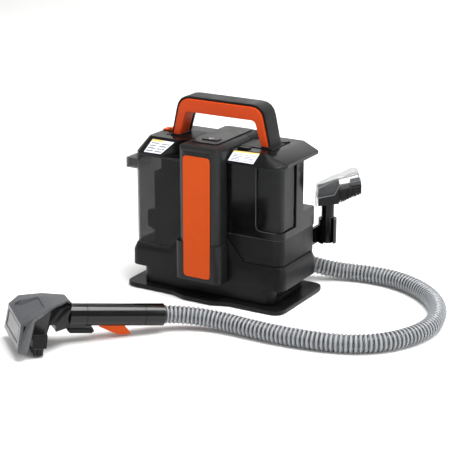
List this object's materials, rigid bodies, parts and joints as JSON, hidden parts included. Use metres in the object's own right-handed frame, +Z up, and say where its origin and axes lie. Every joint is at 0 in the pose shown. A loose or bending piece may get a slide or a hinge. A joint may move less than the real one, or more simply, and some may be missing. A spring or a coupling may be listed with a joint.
{
  "type": "portable spot washer",
  "caption": "Portable carpet and upholstery spot washer with two lift-off tanks, carry handle, suction hose, trigger hand tool and clipped stain tool.",
  "frame": {"origin": "on the floor, under the middle of the base plate", "axes": "+X to the machine's right seen from the front, +Y to its back, +Z up"},
  "size_m": [0.5887, 0.6092, 0.3319],
  "materials": {
    "satin_black": "satin moulded plastic",
    "gloss_black": "polished moulded plastic",
    "grey_black": "satin moulded plastic",
    "orange": "satin moulded plastic",
    "smoked_clear": "smoked see-through plastic",
    "clear": "see-through plastic",
    "hose_clear": "see-through ribbed plastic",
    "rubber": "matt black",
    "steel": "plain metal",
    "board": "green board",
    "bristle": "black bristles"
  },
  "bodies": {
    "machine": {"base_plate": "satin_black", "foot_pad_1": "rubber", "foot_pad_2": "rubber", "foot_pad_3": "rubber", "foot_pad_4": "rubber", "lower_housing": "satin_black", "column_shell": "grey_black", "column_panel": "orange", "rear_cover": "satin_black", "top_panel": "grey_black", "power_switch": "rubber", "suction_motor": "steel", "fan_cover": "rubber", "control_board": "board", "water_pump": "rubber", "handle_shell": "satin_black", "handle_grip": "orange", "handle_arm_left": "satin_black", "handle_arm_right": "satin_black", "hose_elbow": "satin_black", "hose": "hose_clear", "grip_cuff": "gloss_black", "grip_tube": "gloss_black", "trigger_pin": "steel", "trigger_spring": "steel", "tool_holder": "satin_black", "cord_gland": "rubber"},
    "power_button": {"power_button": "grey_black"},
    "suction_fan": {"suction_fan": "steel"},
    "dirty_tank": {"dirty_tank": "smoked_clear", "dirty_tank_lid": "grey_black", "dirty_tank_pipe": "rubber"},
    "dirty_tank_latch": {"dirty_tank_latch": "orange"},
    "float": {"float": "rubber"},
    "clean_tank": {"clean_tank": "smoked_clear", "clean_tank_shell": "gloss_black", "clean_tank_base": "satin_black", "clean_tank_lid": "satin_black", "clean_tank_pipe": "rubber", "valve_spring": "steel"},
    "fill_cap": {"fill_cap": "grey_black"},
    "clean_tank_latch": {"clean_tank_latch": "satin_black"},
    "tank_valve": {"tank_valve": "rubber"},
    "nozzle": {"nozzle_hood": "smoked_clear", "nozzle_body": "satin_black", "nozzle_brush": "bristle", "spray_tip": "steel", "grip_neck": "satin_black"},
    "neck_latch": {"neck_latch": "satin_black"},
    "trigger": {"trigger": "orange"},
    "stain_tool": {"stain_tool_body": "satin_black", "stain_tool_hood": "clear", "stain_tool_brush": "bristle"}
  },
  "joints": [
    {"name": "button_press", "type": "slide", "parent": "machine", "child": "power_button", "axis": [0, 0, -1], "range_m": [0, 0.0012], "stiffness_N_per_m": 400},
    {"name": "fan_spin", "type": "hinge", "parent": "machine", "child": "suction_fan", "pos_m": [0, -0.022, 0.19], "axis": [0, 0, 1], "continuous": true},
    {"name": "dirty_tank_slide", "type": "slide", "parent": "machine", "child": "dirty_tank", "axis": [-1, 0, 0], "range_m": [0, 0.12]},
    {"name": "dirty_latch_flip", "type": "hinge", "parent": "dirty_tank", "child": "dirty_tank_latch", "pos_m": [-0.126, 0.014, 0.2625], "axis": [0, -1, 0], "range_deg": [0, 30]},
    {"name": "float_rise", "type": "slide", "parent": "dirty_tank", "child": "float", "axis": [0, 0, 1], "range_m": [0, 0.06]},
    {"name": "clean_tank_slide", "type": "slide", "parent": "machine", "child": "clean_tank", "axis": [1, 0, 0], "range_m": [0, 0.12]},
    {"name": "fill_cap_flip", "type": "hinge", "parent": "clean_tank", "child": "fill_cap", "pos_m": [0.09, 0.0525, 0.262], "axis": [-1, 0, 0], "range_deg": [0, 100]},
    {"name": "clean_latch_flip", "type": "hinge", "parent": "clean_tank", "child": "clean_tank_latch", "pos_m": [0.0565, -0.024, 0.262], "axis": [-1, 0, 0], "range_deg": [0, 25]},
    {"name": "valve_lift", "type": "slide", "parent": "clean_tank", "child": "tank_valve", "axis": [0, 0, 1], "range_m": [0, 0.003], "stiffness_N_per_m": 150, "deforming": ["valve_spring"]},
    {"name": "nozzle_pull", "type": "slide", "parent": "machine", "child": "nozzle", "axis": [-0.643, -0.7556, 0.1252], "range_m": [0, 0.03]},
    {"name": "latch_press", "type": "slide", "parent": "nozzle", "child": "neck_latch", "axis": [0.0811, 0.0953, 0.9921], "range_m": [0, 0.002], "stiffness_N_per_m": 400},
    {"name": "trigger_squeeze", "type": "hinge", "parent": "machine", "child": "trigger", "pos_m": [-0.04901, -0.30306, 0.031], "axis": [0.7615, -0.6481, 0], "range_deg": [0, 8], "stiffness_Nm_per_rad": 0.6, "deforming": ["trigger_spring"]},
    {"name": "stain_tool_lift", "type": "slide", "parent": "machine", "child": "stain_tool", "axis": [0, 0, 1], "range_m": [0, 0.06]}
  ]
}
